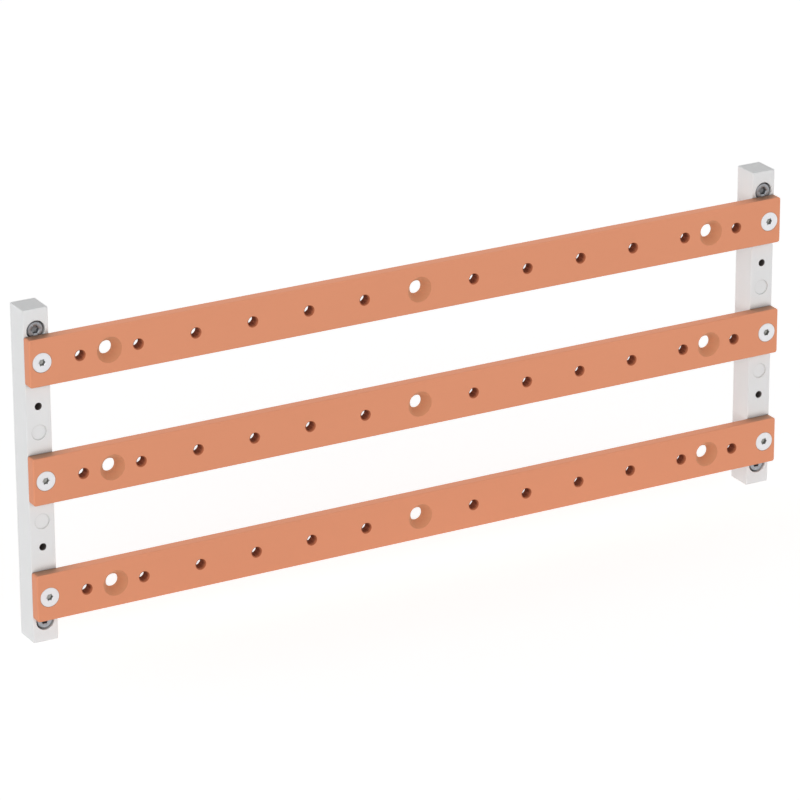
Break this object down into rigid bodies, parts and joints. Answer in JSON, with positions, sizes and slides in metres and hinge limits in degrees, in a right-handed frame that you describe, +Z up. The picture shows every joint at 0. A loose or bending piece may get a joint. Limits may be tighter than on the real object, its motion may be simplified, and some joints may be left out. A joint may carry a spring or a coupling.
{
  "type": "busbar assembly",
  "caption": "Flat copper bars with tapped and countersunk holes, screwed one above another across moulded insulating supports that fasten to a panel.",
  "frame": {"origin": "middle of the four mounting screws, on the panel plane that the backs of the supports rest on", "axes": "+X to the right along the bars, +Z up, +Y into the panel, so the front faces -Y"},
  "size_m": [0.35, 0.0215, 0.142],
  "materials": {
    "copper": "bare rolled copper, satin",
    "white_plastic": "moulded, fine matt texture",
    "bright_zinc": "bright zinc plated",
    "brass": "turned",
    "dark_steel": "dull plated"
  },
  "bodies": {
    "root": {"busbar_top": "copper", "busbar_middle": "copper", "busbar_bottom": "copper", "support_left": "white_plastic", "support_right": "white_plastic", "bar_screws": "bright_zinc", "threaded_inserts": "brass", "mounting_screws": "dark_steel"}
  },
  "joints": []
}
